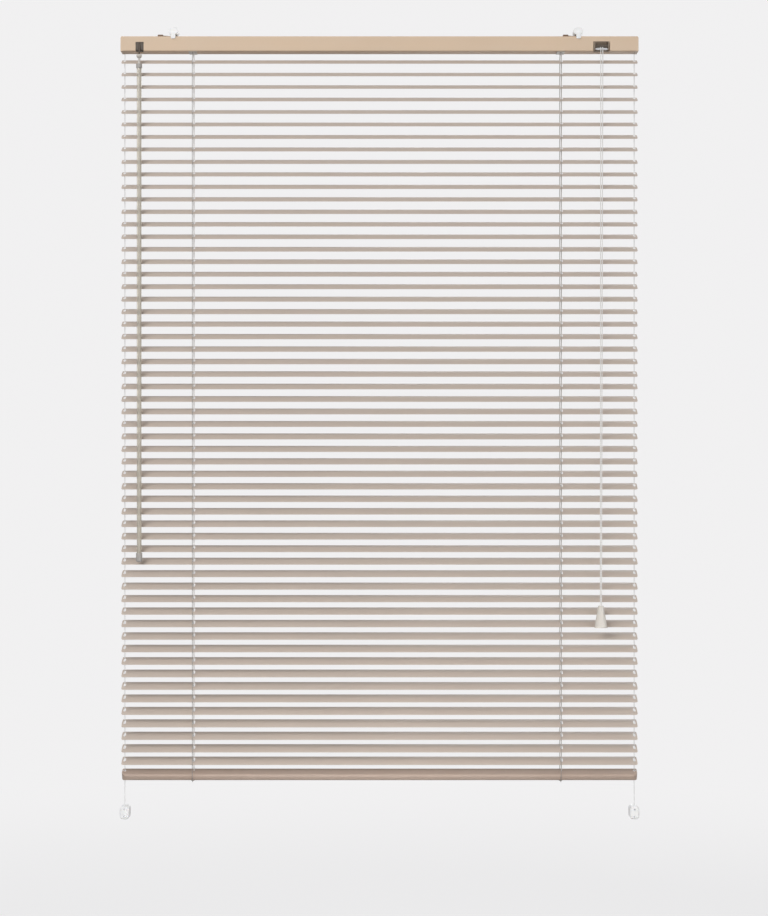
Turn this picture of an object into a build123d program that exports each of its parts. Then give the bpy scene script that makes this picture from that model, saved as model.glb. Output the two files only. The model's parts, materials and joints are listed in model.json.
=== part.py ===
from build123d import *
import os
from math import asin, cos, degrees, radians, sin, tan

# Aluminium venetian blind, lowered and half open, hung by two clamps over the edge of the panel behind it.
# Origin: middle of the blind, on the edge where that panel's front face (y = 0) meets its top (z = 0).
# +X runs to the right, +Y from front to back, +Z up.

# Slats
slat_count = 57
slat_pitch = 20.07
slat_length = 828.0
slat_width = 25.0
slat_crown = 1.9
slat_sheet = 0.21
slat_tilt = 23.0  # front edge down
first_slat_drop = 15.4  # from the head rail's underside
guide_inset = 4.4  # from a slat's end to the guide wire
guide_hole_length = 3.6
guide_hole_width = 10.0
cord_hole_length = 4.0
cord_hole_width = 11.0

# String ladders and cords
left_ladder_inset = 115.0  # from the head rail's end
right_ladder_inset = 124.0
string_width = 1.0
string_thickness = 1.2
rung_thickness = 0.6
string_gap = 0.35
slat_rest = 0.1
cord_radius = 0.7
cord_gap = 0.3
cord_bend = 2.5
knot_radius = 1.6
wire_radius = 0.5

# Head rail
rail_overhang = 1.0  # past the slats at each end
rail_depth = 25.0
rail_height = 24.0
rail_sheet = 0.6
rail_bend = 1.6
rail_slot = 16.0
cap_flange = 3.5
cap_round = 3.2
cap_spigot = 9.0
fit_gap = 0.3  # between pieces that are pushed together by hand
wire_hole_gap = 0.25

# Tilt rod, drums and cradles
rod_flats = 5.0
rod_overhang = 4.0
hub_gap = 0.05  # between the rod and what turns with it
running_gap = 0.05  # between a journal and its bearing
drum_radius = 7.5
drum_barrel = 8.0
drum_flange = 1.4
drum_flange_width = 1.0
journal_radius = 4.0
journal_length = 3.5
cradle_base = 1.0
cradle_wall = 2.0
cradle_play = 0.4
cradle_reach = 3.0
cradle_ledge = 2.0
snout_length = 12.6
snout_drop = 1.0
string_hole = 2.4
string_hole_rim = 0.9
run_gap = 0.5  # between the lift cords and the drums above them

# Tilter
tilter_inset = 30.5  # from the head rail's end
tilter_length = 18.0
tilter_window_width = 13.0
tilter_window_height = 14.8
window_depth = 10.0
window_corner = 1.0
wheel_teeth = 15
wheel_root_radius = 5.2
wheel_tip_radius = 6.8
wheel_width = 6.0
tooth_tip_width = 0.8
tooth_root_width = 1.6
worm_radius = 2.0
worm_length = 10.0
worm_slant = 20.0  # of the worm from upright
worm_clearance = 0.3
shaft_radius = 1.6
neck_radius = 1.2
ball_radius = 3.0
ball_gap = 0.1

# Wand
socket_wall = 1.3
socket_rim_angle = 25.0  # above the ball's middle
socket_front_gap = 0.5
wand_neck_radius = 1.9
wand_neck_length = 12.0
sleeve_radius = 4.8
sleeve_length = 6.4
wand_flats = 6.8
wand_length = 785.0
grip_radius = 5.0
grip_length = 14.5
grip_grasp = 6.0

# Cord lock
lock_inset = 59.0  # from the head rail's end
lock_length = 24.0
lock_wall = 1.6
lock_base = 1.4
lock_top_drop = 3.0
lock_cheek_front = 0.9  # ahead of the head rail's face
lock_window_width = 26.6
lock_window_height = 15.6
cord_spacing = 3.2
cord_side_step = 3.0
roller_radius = 2.0
roller_length = 17.0
roller_axle_radius = 1.0
roller_set_back = 1.3  # behind the head rail's face
roller_rise = 3.5  # above the head rail's underside
pin_radius = 1.8
pin_set_back = 6.3
pin_travel = 3.5
pin_slant = 60.0
turn_radius = 3.0
cord_rise_run = 35.0
cord_rise_start = 13.0

# Tassel
tassel_top_drop = 888.0  # below the head rail's underside
tassel_height = 35.0
tassel_top_radius = 4.2
tassel_radius = 10.5
tassel_wall = 1.5
tassel_gap = 0.6
tassel_hole = 2.3
tassel_cord_spacing = 1.8
tassel_lean = 2.4  # towards the middle of the blind

# Bottom rail
bottom_drop = 21.6  # below the last slat
bottom_inset = 3.0  # narrower than a slat
bottom_height = 11.4
bottom_sheet = 0.7
bottom_bend = 4.0
bottom_cap_length = 10.0
bottom_cap_spigot = 8.0
bottom_cap_bevel = 0.9
bottom_cap_round = 9.0  # at its front corner
bottom_wire_gap = 0.7
cord_exit_radius = 1.1
button_radius = 4.0
button_thickness = 3.0
button_shift = 3.5  # towards the front, along the underside
button_stem_radius = 2.4
button_stem_grip = 1.5

# Clamps on the panel's top edge
left_clamp_inset = 84.4  # from the head rail's end
right_clamp_inset = 96.0
clamp_width = 14.5
clamp_plate = 2.0
clamp_plate_drop = 20.0
clamp_top = 14.4
clamp_round = 5.0
clamp_setback = 0.5  # of the block from the panel's face
clamp_nose = 1.3  # of the block behind the head rail's face
tongue_width = 7.4
tongue_thickness = 1.2
tongue_drop = 4.0
tongue_top = 6.0
tongue_round = 1.6
hook_width = 11.0
hook_sheet = 1.2
hook_slot_height = 8.9
hook_slot_gap = 0.1
hook_reach = 20.0
jaw = 20.0  # thickness of the panel's edge
jaw_drop = 9.0
clamp_screw_radius = 1.9
clamp_screw_gap = 0.05
clamp_screw_sink = 0.5
screw_socket = 2.0
screw_socket_depth = 2.0

# Swivel catches
catch_gap = 0.3
catch_hub = 6.0
catch_lever = 1.2
catch_lever_width = 4.5
catch_reach = 20.7  # from the pivot to the tab's middle
catch_tab_width = 8.5
catch_tab_depth = 5.2
catch_tab_height = 2.2
catch_tab_round = 1.5
catch_tab_set_back = 0.3  # behind the head rail's face
catch_wing = 1.6
catch_wing_length = 20.0
catch_wing_width = 7.0
catch_pin_radius = 2.5
catch_pin_height = 7.2

# Holders of the guide wires
holder_drop = 61.08  # below the bottom rail
holder_width = 15.0
holder_height = 20.0
holder_depth = 22.0
holder_round = 5.0
holder_edge = 1.2
holder_screw_radius = 1.5
holder_screw_spacing = 11.3
holder_screw_gap = 0.05
holder_screw_sink = 0.4
holder_wall = 2.0

# Places that follow from the sizes
rail_back = -(clamp_plate + fit_gap)
rail_front = rail_back - rail_depth
mid_y = rail_back - rail_depth / 2
rail_bottom = -rail_height
rail_mid_z = -rail_height / 2
rail_length = slat_length + 2 * rail_overhang
rail_end = rail_length / 2
rail_cut = rail_length - 2 * cap_flange
floor_z = rail_bottom + rail_sheet
left_ladder_x = left_ladder_inset - rail_end
right_ladder_x = rail_end - right_ladder_inset
ladder_places = {"left": left_ladder_x, "right": right_ladder_x}
clamp_places = {"left": left_clamp_inset - rail_end, "right": rail_end - right_clamp_inset}
tilter_x = tilter_inset - rail_end
lock_x = rail_end - lock_inset
cord_step = string_thickness / 2 + cord_gap + cord_radius
guide_x = slat_length / 2 - guide_inset
sides = {"left": -1, "right": 1}

tilt = radians(slat_tilt)
lean = (0, cos(tilt), sin(tilt))  # from a slat's front edge to its back edge
rise = (0, -sin(tilt), cos(tilt))  # square to a slat
first_slat_z = rail_bottom - first_slat_drop
last_slat_z = first_slat_z - slat_pitch * (slat_count - 1)
slat_front = mid_y - slat_width / 2 * cos(tilt) - slat_sheet
bottom_z = last_slat_z - bottom_drop
bottom_width = slat_width - bottom_inset
holder_z = bottom_z - holder_drop

run_z = floor_z + cradle_base + cord_gap + cord_radius
flange_radius = drum_radius + drum_flange
rod_z = run_z + cord_radius + run_gap + flange_radius
roller_y = rail_front + roller_set_back
roller_z = rail_bottom + roller_rise
over_roller = roller_radius + cord_gap / 3 + cord_radius
roll_z = roller_z + over_roller
hang_y = roller_y - over_roller
tassel_y = slat_front - tassel_radius - tassel_gap
tassel_top = rail_bottom - tassel_top_drop

worm_angle = radians(worm_slant)
worm_axis = Vector(0, -sin(worm_angle), -cos(worm_angle))  # down and out of the front
worm_centre_distance = wheel_tip_radius + worm_radius + worm_clearance
worm_middle = Vector(
    tilter_x,
    mid_y - worm_centre_distance * cos(worm_angle),
    rod_z + worm_centre_distance * sin(worm_angle),
)
socket_radius = ball_radius + ball_gap + socket_wall
ball_y = rail_front - socket_front_gap - socket_radius
shaft_reach = (worm_middle.Y - ball_y) / sin(worm_angle)
ball_middle = worm_middle + worm_axis * shaft_reach
neck_foot_z = ball_middle.Z - socket_radius - wand_neck_length
wand_foot_z = neck_foot_z - wand_length

os.makedirs("parts", exist_ok=True)


def keep(builder, name):
    builder.part.label = name
    export_step(builder.part, f"parts/{name}.step")


def across(x):
    # Plane square to the blind's length: its x runs to the back, its y up
    return Plane.YZ.offset(x)


def facing(y):
    # Plane seen from the front: its x runs to the right, its y up, and it extrudes to the front
    return Plane.XZ.offset(-y)


def slat_section(x, z):
    return Plane(origin=(x, mid_y, z), x_dir=lean, z_dir=(1, 0, 0))


def slat_face(z):
    return Plane(origin=(0, mid_y, z), x_dir=(1, 0, 0), z_dir=rise)


def in_bottom_rail(along, up):
    # Place in the plane of the bottom rail's section, which leans with the slats
    return (
        mid_y + along * cos(tilt) - up * sin(tilt),
        bottom_z + along * sin(tilt) + up * cos(tilt),
    )


# Slats: one crowned strip, cut to length and punched, repeated down the ladders
crown_radius = (slat_width**2 / 4 + slat_crown**2) / (2 * slat_crown)
crown_middle = (0, slat_crown - crown_radius)
crown_half = degrees(asin(slat_width / 2 / crown_radius))

with BuildPart() as slat:
    with BuildSketch(slat_section(-slat_length / 2, first_slat_z)):
        with BuildLine():
            under = CenterArc(crown_middle, crown_radius, 90 - crown_half, 2 * crown_half)
            over = CenterArc(crown_middle, crown_radius + slat_sheet, 90 - crown_half, 2 * crown_half)
            Line(under @ 0, over @ 0)
            Line(under @ 1, over @ 1)
        make_face()
    extrude(amount=slat_length)
    with BuildSketch(slat_face(first_slat_z)):
        with Locations((-guide_x, 0), (guide_x, 0)):
            Rectangle(guide_hole_length, guide_hole_width)
        with Locations((left_ladder_x + cord_step, 0), (right_ladder_x + cord_step, 0)):
            Rectangle(cord_hole_length, cord_hole_width)
    extrude(amount=slat_width, both=True, mode=Mode.SUBTRACT)

with BuildPart() as slats:
    with Locations(*[(0, 0, -slat_pitch * row) for row in range(slat_count)]):
        add(slat.part)
keep(slats, "slats")

# Ladders: one string from the bottom rail's button up the front, over the drum and down the back, with rungs
ladder_half = slat_width / 2 * cos(tilt) + slat_sheet + string_gap + string_width / 2
string_over_drum = drum_radius + cord_gap + string_width / 2
string_stand_off = string_gap + string_width / 2
under_rail = -(bottom_height / 2 + string_stand_off)
before_rail = bottom_width / 2 + string_stand_off
string_end = button_radius + string_stand_off
front_knee_up = (ladder_half - before_rail * cos(tilt)) / sin(tilt)
back_knee_along = (ladder_half + under_rail * sin(tilt)) / cos(tilt)
snout_foot = rail_bottom - snout_drop - string_width
slat_edge_drop = slat_width / 2 * sin(tilt)

for side, ladder_x in ladder_places.items():
    with BuildPart() as ladder:
        with BuildSketch(across(ladder_x)):
            with BuildLine() as string:
                front = Polyline(
                    in_bottom_rail(-button_shift - string_end, under_rail),
                    in_bottom_rail(-before_rail, under_rail),
                    in_bottom_rail(-before_rail, front_knee_up),
                    (mid_y - ladder_half, first_slat_z - slat_edge_drop / 2),
                    (mid_y - string_over_drum, snout_foot),
                    (mid_y - string_over_drum, rod_z),
                )
                back = Polyline(
                    in_bottom_rail(-button_shift + string_end, under_rail),
                    in_bottom_rail(back_knee_along, under_rail),
                    (mid_y + ladder_half, first_slat_z + slat_edge_drop + slat_crown),
                    (mid_y + string_over_drum, snout_foot),
                    (mid_y + string_over_drum, rod_z),
                )
                ThreePointArc(front @ 1, (mid_y, rod_z + string_over_drum), back @ 1)
            trace(line_width=string_width)
            for row in range(slat_count):
                rung_z = first_slat_z - slat_pitch * row - (slat_rest + rung_thickness / 2) / cos(tilt)
                fall = ladder_half * tan(tilt)
                half_rung = rung_thickness / 2 / cos(tilt)
                Polygon(
                    (mid_y - ladder_half, rung_z - fall - half_rung),
                    (mid_y + ladder_half, rung_z + fall - half_rung),
                    (mid_y + ladder_half, rung_z + fall + half_rung),
                    (mid_y - ladder_half, rung_z - fall + half_rung),
                    align=None,
                )
        extrude(amount=string_thickness / 2, both=True)
    keep(ladder, f"ladder_{side}")

# Head rail: folded channel with inturned lips, windows for the tilter and the cord lock, holes in the floor
snout_width = 2 * (string_over_drum + string_hole / 2 + string_hole_rim)


def rail_window(x, width, height):
    with BuildSketch(facing(rail_front + window_depth)) as window:
        with Locations((x, rail_bottom + height / 2)):
            Rectangle(width, height)
        fillet(window.vertices(), window_corner)
    extrude(window.sketch, amount=2 * window_depth, mode=Mode.SUBTRACT)


with BuildPart() as head_rail:
    with BuildSketch(across(-rail_cut / 2)):
        with Locations((mid_y, rail_mid_z)):
            RectangleRounded(rail_depth, rail_height, rail_bend)
            RectangleRounded(
                rail_depth - 2 * rail_sheet,
                rail_height - 2 * rail_sheet,
                rail_bend - rail_sheet,
                mode=Mode.SUBTRACT,
            )
        with Locations((mid_y, 0)):
            Rectangle(rail_slot, 4 * rail_sheet, mode=Mode.SUBTRACT)
    extrude(amount=rail_cut)
    rail_window(tilter_x, tilter_window_width, tilter_window_height)
    rail_window(lock_x, lock_window_width, lock_window_height)
    with BuildSketch(Plane.XY.offset(floor_z)):
        with Locations((left_ladder_x, mid_y), (right_ladder_x, mid_y)):
            Rectangle(snout_length + 2 * fit_gap, snout_width + 2 * fit_gap)
        with Locations((-guide_x, mid_y), (guide_x, mid_y)):
            Circle(wire_radius + wire_hole_gap)
    extrude(amount=2 * rail_sheet, both=True, mode=Mode.SUBTRACT)
keep(head_rail, "head_rail")

for side, sign in sides.items():
    with BuildPart() as end_cap:
        with BuildSketch(facing(rail_back)) as flange:
            with Locations((sign * (rail_cut + cap_flange) / 2, rail_mid_z)):
                Rectangle(cap_flange, rail_height)
            top_corners = flange.vertices().group_by(Axis.Y)[-1].sort_by(Axis.X)
            fillet(top_corners[0 if sign < 0 else -1], cap_round)
        extrude(amount=rail_depth)
        with BuildSketch(across(sign * rail_cut / 2)):
            with Locations((mid_y, rail_mid_z)):
                RectangleRounded(
                    rail_depth - 2 * (rail_sheet + fit_gap),
                    rail_height - 2 * (rail_sheet + fit_gap),
                    rail_bend - rail_sheet,
                )
        extrude(amount=-sign * cap_spigot)
        with Locations((sign * guide_x, mid_y, rail_mid_z)):
            Cylinder(wire_radius + wire_hole_gap, rail_height, mode=Mode.SUBTRACT)
    keep(end_cap, f"end_cap_{side}")

# Tilt rod, and the drums that wind the ladders
cradle_half = drum_barrel / 2 + drum_flange_width + cradle_play + cradle_wall
rod_left = tilter_x - tilter_length / 2 - rod_overhang
rod_right = right_ladder_x + cradle_half + rod_overhang

with BuildPart() as tilt_rod:
    with BuildSketch(across(rod_left)):
        with Locations((mid_y, rod_z)):
            RegularPolygon(rod_flats / 2, 6, major_radius=False)
    extrude(amount=rod_right - rod_left)
keep(tilt_rod, "tilt_rod")


def rod_bore(x, length):
    with BuildSketch(across(x - length / 2)) as bore:
        with Locations((mid_y, rod_z)):
            RegularPolygon(rod_flats / 2 + hub_gap, 6, major_radius=False)
    extrude(bore.sketch, amount=length, mode=Mode.SUBTRACT)


for side, ladder_x in ladder_places.items():
    barrel_half = drum_barrel / 2
    flange_end = barrel_half + drum_flange_width
    journal_end = flange_end + journal_length
    with BuildPart() as drum:
        with BuildSketch(facing(mid_y)):
            with BuildLine():
                Polyline(
                    (ladder_x - journal_end, rod_z),
                    (ladder_x - journal_end, rod_z + journal_radius),
                    (ladder_x - flange_end, rod_z + journal_radius),
                    (ladder_x - flange_end, rod_z + flange_radius),
                    (ladder_x - barrel_half, rod_z + flange_radius),
                    (ladder_x - barrel_half, rod_z + drum_radius),
                    (ladder_x + barrel_half, rod_z + drum_radius),
                    (ladder_x + barrel_half, rod_z + flange_radius),
                    (ladder_x + flange_end, rod_z + flange_radius),
                    (ladder_x + flange_end, rod_z + journal_radius),
                    (ladder_x + journal_end, rod_z + journal_radius),
                    (ladder_x + journal_end, rod_z),
                    close=True,
                )
            make_face()
        revolve(axis=Axis((0, mid_y, rod_z), (1, 0, 0)))
        rod_bore(ladder_x, 2 * journal_end)
    keep(drum, f"tilt_drum_{side}")

# Cradles: a base on the rail's floor, a snout down through it for the strings, and two bearing walls
for side, ladder_x in ladder_places.items():
    wall_inside = drum_barrel / 2 + drum_flange_width + cradle_play
    base_width = rail_depth - 2 * (rail_sheet + rail_bend)
    with BuildPart() as cradle:
        with BuildSketch(Plane.XY.offset(floor_z)):
            with Locations((ladder_x, mid_y)):
                Rectangle(2 * (cradle_half + cradle_ledge), base_width)
        extrude(amount=cradle_base)
        with BuildSketch(Plane.XY.offset(floor_z)):
            with Locations((ladder_x, mid_y)):
                Rectangle(snout_length, snout_width)
        extrude(amount=-(rail_sheet + snout_drop))
        for wall_x in (ladder_x - cradle_half, ladder_x + wall_inside):
            with BuildSketch(across(wall_x)):
                with BuildLine():
                    Polyline(
                        (mid_y - base_width / 2, floor_z),
                        (mid_y - journal_radius - cradle_reach, rod_z + journal_radius),
                        (mid_y + journal_radius + cradle_reach, rod_z + journal_radius),
                        (mid_y + base_width / 2, floor_z),
                        close=True,
                    )
                make_face()
                with Locations((mid_y, rod_z)):
                    Circle(journal_radius + running_gap, mode=Mode.SUBTRACT)
                with Locations((mid_y, rod_z + journal_radius)):
                    Rectangle(
                        2 * (journal_radius + running_gap), 2 * journal_radius, mode=Mode.SUBTRACT
                    )
                with Locations((mid_y - cord_side_step / 2, run_z)):
                    Rectangle(
                        cord_side_step + 2 * (cord_radius + cord_gap),
                        2 * (cord_radius + cord_gap),
                        mode=Mode.SUBTRACT,
                    )
            extrude(amount=cradle_wall)
        with BuildSketch(Plane.XY.offset(floor_z + cradle_base)):
            with Locations((ladder_x, mid_y - string_over_drum), (ladder_x, mid_y + string_over_drum)):
                Rectangle(string_hole, string_hole)
            with Locations((ladder_x + cord_step, mid_y)):
                Circle(cord_radius + cord_gap)
            with Locations((ladder_x + cord_step + cord_bend / 2, mid_y)):
                Rectangle(cord_bend, 2 * (cord_radius + cord_gap))
        extrude(amount=-(cradle_base + rail_sheet + snout_drop), mode=Mode.SUBTRACT)
    keep(cradle, f"drum_cradle_{side}")

# Tilter: a worm wheel on the rod, driven by a slanting worm that leaves through the window
hub_half = tilter_length / 2
with BuildPart() as worm_wheel:
    with BuildSketch(across(tilter_x - wheel_width / 2)):
        with Locations((mid_y, rod_z)):
            Circle(wheel_root_radius)
            with PolarLocations(0, wheel_teeth):
                Polygon(
                    (wheel_root_radius - tooth_tip_width, -tooth_root_width / 2),
                    (wheel_tip_radius, -tooth_tip_width / 2),
                    (wheel_tip_radius, tooth_tip_width / 2),
                    (wheel_root_radius - tooth_tip_width, tooth_root_width / 2),
                    align=None,
                )
    extrude(amount=wheel_width)
    with BuildSketch(across(tilter_x - hub_half)):
        with Locations((mid_y, rod_z)):
            Circle(journal_radius)
    extrude(amount=2 * hub_half)
    rod_bore(tilter_x, 2 * hub_half)
keep(worm_wheel, "worm_wheel")

worm_section = Plane(origin=worm_middle, x_dir=worm_axis, z_dir=(1, 0, 0))
with BuildPart() as worm:
    with BuildSketch(worm_section):
        with BuildLine():
            Polyline(
                (-worm_length / 2, 0),
                (-worm_length / 2, worm_radius),
                (worm_length / 2, worm_radius),
                (worm_length / 2, shaft_radius),
                (shaft_reach - 2 * ball_radius, shaft_radius),
                (shaft_reach - 2 * ball_radius, neck_radius),
                (shaft_reach, neck_radius),
                (shaft_reach, 0),
                close=True,
            )
        make_face()
    revolve(axis=Axis(worm_middle, worm_axis))
    with Locations(ball_middle):
        Sphere(ball_radius)
keep(worm, "worm")

housing_front = rail_front + rail_sheet + fit_gap
housing_back = rail_back - rail_sheet - fit_gap
housing_top = -rail_sheet - fit_gap
with BuildPart() as tilter_housing:
    with BuildSketch(across(tilter_x - tilter_length / 2)) as block:
        with BuildLine():
            Polyline(
                (housing_front, floor_z + rail_bend),
                (housing_front, housing_top),
                (housing_back, housing_top),
                (housing_back, floor_z + rail_bend),
                (housing_back - rail_bend, floor_z),
                (housing_front + rail_bend, floor_z),
                close=True,
            )
        make_face()
    extrude(amount=tilter_length)
    with BuildSketch(across(tilter_x - hub_half)):
        with Locations((mid_y, rod_z)):
            Circle(journal_radius + running_gap)
    extrude(amount=2 * hub_half, mode=Mode.SUBTRACT)
    with BuildSketch(across(tilter_x - wheel_width / 2 - fit_gap)):
        with Locations((mid_y, rod_z)):
            Circle(wheel_tip_radius + fit_gap)
    extrude(amount=wheel_width + 2 * fit_gap, mode=Mode.SUBTRACT)
    with BuildSketch(Plane(origin=worm_middle - worm_axis * (worm_length / 2 + fit_gap), z_dir=worm_axis)):
        Circle(worm_radius + fit_gap)
    extrude(amount=worm_length + 2 * fit_gap, mode=Mode.SUBTRACT)
    with BuildSketch(Plane(origin=worm_middle, z_dir=worm_axis)):
        Circle(shaft_radius + running_gap)
    extrude(amount=shaft_reach, mode=Mode.SUBTRACT)
keep(tilter_housing, "tilter_housing")

# Wand: a socket that snaps over the worm's ball, a sleeve, the clear rod and its grip
inner_radius = ball_radius + ball_gap
with BuildPart() as wand_socket:
    with BuildSketch(facing(ball_middle.Y)):
        with BuildLine():
            bowl = CenterArc((tilter_x, ball_middle.Z), inner_radius, -90, 90 + socket_rim_angle)
            shell = CenterArc((tilter_x, ball_middle.Z), socket_radius, -90, 90 + socket_rim_angle)
            Line(bowl @ 0, shell @ 0)
            Line(bowl @ 1, shell @ 1)
        make_face()
    revolve(axis=Axis(ball_middle, (0, 0, 1)))
    with BuildSketch(Plane.XY.offset(ball_middle.Z - inner_radius - socket_wall / 2)):
        with Locations((tilter_x, ball_middle.Y)):
            Circle(wand_neck_radius)
    extrude(amount=-(socket_wall / 2 + wand_neck_length))
keep(wand_socket, "wand_socket")


def wand_round(z, radius, length, mode=Mode.ADD):
    # Round bar on the wand's axis, from a height down
    with BuildSketch(Plane.XY.offset(z)) as end:
        with Locations((tilter_x, ball_middle.Y)):
            Circle(radius)
    extrude(end.sketch, amount=-length, mode=mode)


def wand_hexagon(z, flats, length, mode=Mode.ADD):
    with BuildSketch(Plane.XY.offset(z)) as end:
        with Locations((tilter_x, ball_middle.Y)):
            RegularPolygon(flats / 2, 6, major_radius=False)
    extrude(end.sketch, amount=-length, mode=mode)


wand_bore_flats = wand_flats + 2 * hub_gap
sleeve_top = neck_foot_z + sleeve_length / 2
with BuildPart() as wand_sleeve:
    wand_round(sleeve_top, sleeve_radius, sleeve_length)
    wand_round(sleeve_top, wand_neck_radius + hub_gap, sleeve_length / 2, Mode.SUBTRACT)
    wand_hexagon(neck_foot_z, wand_bore_flats, sleeve_length / 2, Mode.SUBTRACT)
keep(wand_sleeve, "wand_sleeve")

with BuildPart() as tilt_wand:
    wand_hexagon(neck_foot_z, wand_flats, wand_length)
keep(tilt_wand, "tilt_wand")

with BuildPart() as wand_grip:
    wand_round(wand_foot_z + grip_grasp, grip_radius, grip_length)
    chamfer(wand_grip.faces().sort_by(Axis.Z)[0].edges(), grip_radius / 3)
    wand_hexagon(wand_foot_z + grip_grasp, wand_bore_flats, grip_grasp, Mode.SUBTRACT)
keep(wand_grip, "wand_grip")

# Cord lock: two cheeks on a base, with the guide roller in front and the locking pin in slanting slots
lock_half = lock_length / 2
lock_top = -lock_top_drop
lock_front = rail_front - lock_cheek_front
lock_window_top = rail_bottom + lock_window_height - fit_gap
roller_back = roller_y + roller_radius + fit_gap
pin_y = rail_front + pin_set_back
pin_z = roll_z + cord_radius + cord_gap + pin_radius
pin_angle = radians(pin_slant)
left_cord_y = mid_y - cord_side_step
left_cord_x = lock_x - cord_spacing / 2
right_cord_x = lock_x + cord_spacing / 2

with BuildPart() as cord_lock:
    for cheek_x in (lock_x - lock_half, lock_x + lock_half - lock_wall):
        with BuildSketch(across(cheek_x)):
            with BuildLine():
                Polyline(
                    (lock_front, floor_z + rail_bend),
                    (lock_front, lock_window_top),
                    (housing_front, lock_window_top),
                    (housing_front, lock_top),
                    (housing_back, lock_top),
                    (housing_back, floor_z + rail_bend),
                    (housing_back - rail_bend, floor_z),
                    (housing_front, floor_z),
                    close=True,
                )
            make_face()
            with Locations((roller_y, roller_z)):
                Circle(roller_axle_radius + running_gap, mode=Mode.SUBTRACT)
            with Locations(
                (pin_y + pin_travel / 2 * cos(pin_angle), pin_z + pin_travel / 2 * sin(pin_angle))
            ):
                SlotCenterToCenter(
                    pin_travel, 2 * (pin_radius + cord_gap / 3), rotation=pin_slant, mode=Mode.SUBTRACT
                )
        extrude(amount=lock_wall)
    with BuildSketch(across(lock_x - lock_half)):
        with BuildLine():
            Polyline(
                (roller_back, floor_z),
                (housing_back - rail_bend, floor_z),
                (housing_back, floor_z + rail_bend),
                (housing_back, lock_top),
                (housing_back - lock_wall, lock_top),
                (housing_back - lock_wall, floor_z + lock_base),
                (roller_back, floor_z + lock_base),
                close=True,
            )
        make_face()
    extrude(amount=lock_length)
    with BuildSketch(Plane.XY.offset(floor_z)):
        with Locations((left_cord_x - turn_radius, left_cord_y - turn_radius)):
            Circle(turn_radius - cord_radius - cord_gap)
    extrude(amount=roll_z + cord_radius - floor_z)
    with BuildSketch(across(lock_x - lock_half)):
        with Locations((mid_y - cord_side_step / 2, roll_z)):
            Rectangle(cord_side_step + 4 * cord_radius, 4 * cord_radius)
    extrude(amount=lock_wall, mode=Mode.SUBTRACT)
keep(cord_lock, "cord_lock")

with BuildPart() as cord_roller:
    for length, radius in ((roller_length, roller_radius), (lock_length, roller_axle_radius)):
        with BuildSketch(across(lock_x - length / 2)):
            with Locations((roller_y, roller_z)):
                Circle(radius)
        extrude(amount=length)
keep(cord_roller, "cord_roller")

with BuildPart() as locking_pin:
    with BuildSketch(across(lock_x - lock_half)):
        with Locations((pin_y, pin_z)):
            Circle(pin_radius)
    extrude(amount=lock_length)
keep(locking_pin, "locking_pin")

# Lift cords: from a knot in the bottom rail up through the slats, then along the rail's floor to the lock
rise_x = right_ladder_x + cord_rise_start
knot_z = bottom_z + bottom_height / 2 - bottom_sheet - 2 * knot_radius
gentle_bend = cord_rise_run
cord_exits = {"left": (left_cord_x, left_cord_y), "right": (right_cord_x, mid_y)}

for side, ladder_x in ladder_places.items():
    cord_x = ladder_x + cord_step
    exit_x, run_y = cord_exits[side]
    with BuildPart() as lift_cord:
        with BuildLine() as route:
            FilletPolyline(
                (cord_x, mid_y, knot_z),
                (cord_x, mid_y, run_z),
                (rise_x, run_y, run_z),
                (rise_x + cord_rise_run, run_y, roll_z),
                (exit_x, run_y, roll_z),
                (exit_x, roller_y + cord_radius, roll_z),
                radius=[cord_bend, gentle_bend, gentle_bend, turn_radius],
            )
        with BuildSketch(Plane(origin=route.line @ 0, z_dir=route.line % 0)):
            Circle(cord_radius)
        sweep()
        with Locations((cord_x, mid_y, knot_z)):
            Cylinder(knot_radius, 2 * knot_radius)
    keep(lift_cord, f"lift_cord_{side}")

# Pull cords: the same two cords, hanging from the roller to the tassel
tassel_x = lock_x - tassel_lean
tassel_ends = {"left": tassel_x - tassel_cord_spacing / 2, "right": tassel_x + tassel_cord_spacing / 2}
for side, end_x in tassel_ends.items():
    exit_x = cord_exits[side][0]
    with BuildPart() as pull_cord:
        with BuildLine() as route:
            FilletPolyline(
                (exit_x, roller_y + cord_radius, roll_z),
                (exit_x, hang_y, roll_z),
                (end_x, tassel_y, tassel_top - tassel_height / 2),
                radius=over_roller,
            )
        with BuildSketch(Plane(origin=route.line @ 0, z_dir=route.line % 0)):
            Circle(cord_radius)
        sweep()
    keep(pull_cord, f"pull_cord_{side}")

with BuildPart() as cord_tassel:
    with BuildSketch(facing(tassel_y)):
        with BuildLine():
            Polyline(
                (tassel_x + tassel_hole, tassel_top),
                (tassel_x + tassel_top_radius, tassel_top),
                (tassel_x + tassel_radius, tassel_top - tassel_height),
                (tassel_x + tassel_radius - tassel_wall, tassel_top - tassel_height),
                (tassel_x + tassel_hole, tassel_top - 2 * tassel_wall),
                close=True,
            )
        make_face()
    revolve(axis=Axis((tassel_x, tassel_y, 0), (0, 0, 1)))
keep(cord_tassel, "cord_tassel")

# Bottom rail: a closed tube that leans with the slats, with end caps and a button under each ladder
tube_length = slat_length - 2 * bottom_cap_length

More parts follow.
